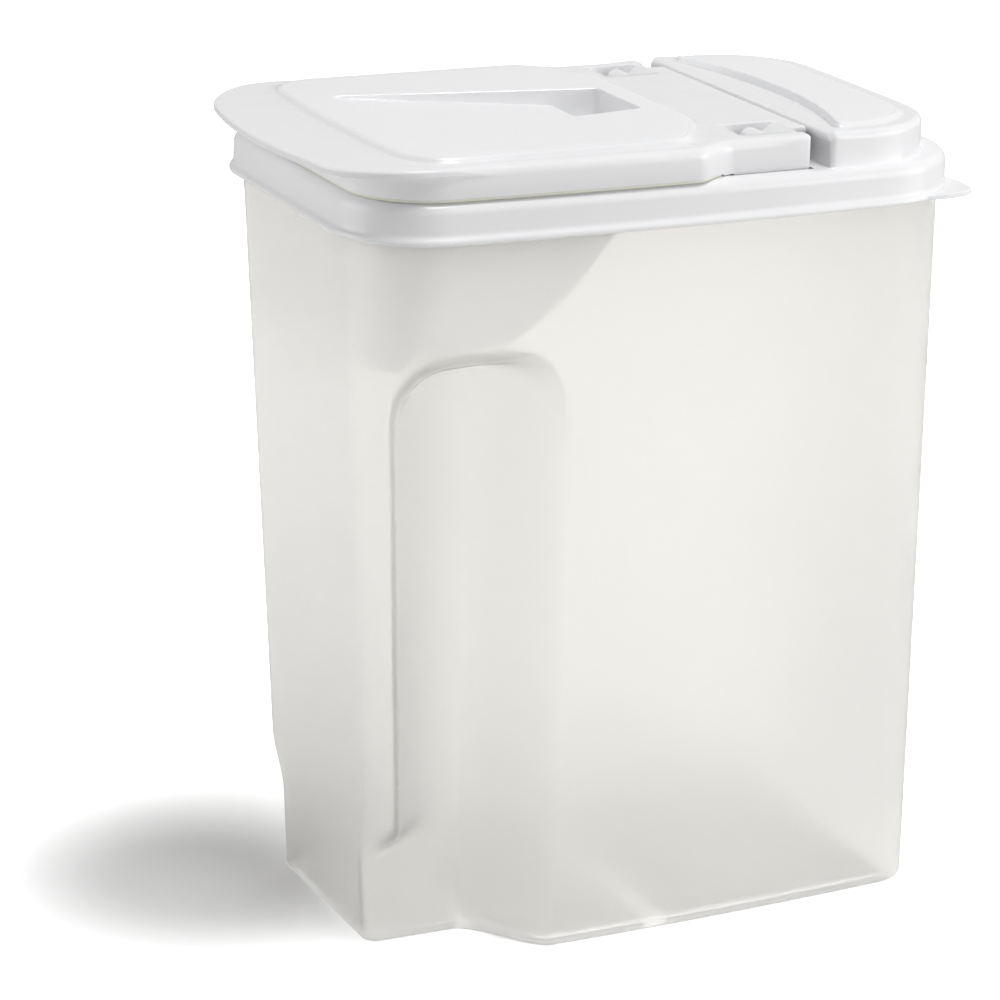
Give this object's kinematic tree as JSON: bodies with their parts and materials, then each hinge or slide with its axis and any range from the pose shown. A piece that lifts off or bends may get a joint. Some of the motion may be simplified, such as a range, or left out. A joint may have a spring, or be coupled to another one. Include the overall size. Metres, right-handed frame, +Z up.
{
  "type": "cereal container with flip spout",
  "caption": "Tall translucent dry-food container with hand grips in its sides, a lift-off lid and a hinged pouring flap.",
  "frame": {"origin": "middle of the base on the floor", "axes": "+Z up out of the lid, -Y towards the pouring end, +X towards the right-hand grip seen from the pouring end"},
  "size_m": [0.124, 0.2024, 0.2372],
  "materials": {
    "tub_plastic": "frosted translucent polypropylene",
    "lid_plastic": "gloss white, fine grain on the raised panel",
    "flap_plastic": "gloss white, fine grain on the raised panel",
    "seal_rubber": "soft pale elastomer",
    "pin_plastic": "plain white"
  },
  "bodies": {
    "tub": {"container_body": "tub_plastic"},
    "lid": {"lid_frame": "lid_plastic", "spout_seal": "seal_rubber"},
    "flap": {"flip_lid": "flap_plastic", "hinge_pin_left": "pin_plastic", "hinge_pin_right": "pin_plastic"}
  },
  "joints": [
    {"name": "lid_lift", "type": "slide", "parent": "tub", "child": "lid", "axis": [0, 0, 1], "range_m": [0, 0.08]},
    {"name": "flap_hinge", "type": "hinge", "parent": "lid", "child": "flap", "pos_m": [0, 0.03, 0.23185], "axis": [-1, 0, 0], "range_deg": [0, 105]}
  ]
}
